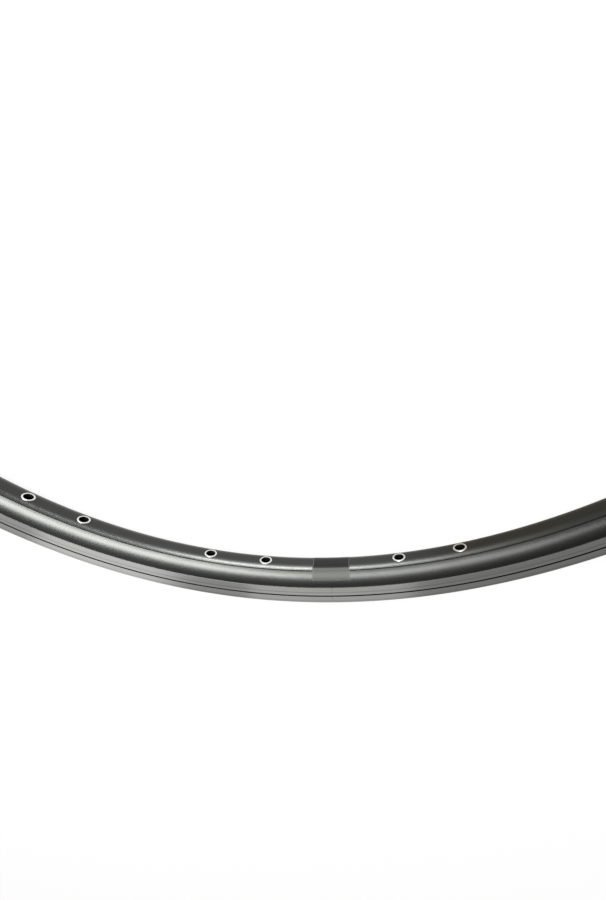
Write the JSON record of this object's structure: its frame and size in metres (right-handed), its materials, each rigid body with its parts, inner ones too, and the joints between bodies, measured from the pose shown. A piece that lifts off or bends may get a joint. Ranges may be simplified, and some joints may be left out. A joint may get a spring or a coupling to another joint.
{
  "type": "bicycle rim",
  "caption": "Hollow double-wall alloy rim for a spoked road wheel, with hooked tyre flanges, machined brake tracks and eyeleted spoke holes set in pairs.",
  "frame": {"origin": "wheel centre, on the axle line and midway between the two brake tracks", "axes": "+Z along the axle, out of one side of the wheel; -Y points to the hoop's butt joint and +Y to the valve hole"},
  "size_m": [0.634, 0.6339, 0.02],
  "materials": {
    "anodised_alloy": "satin dark grey anodising, bare machined brake tracks",
    "eyelet_steel": "bright plated steel",
    "sleeve_alloy": "as extruded"
  },
  "bodies": {
    "root": {"rim_hoop": "anodised_alloy", "eyelets": "eyelet_steel", "joint_sleeve": "sleeve_alloy"}
  },
  "joints": []
}
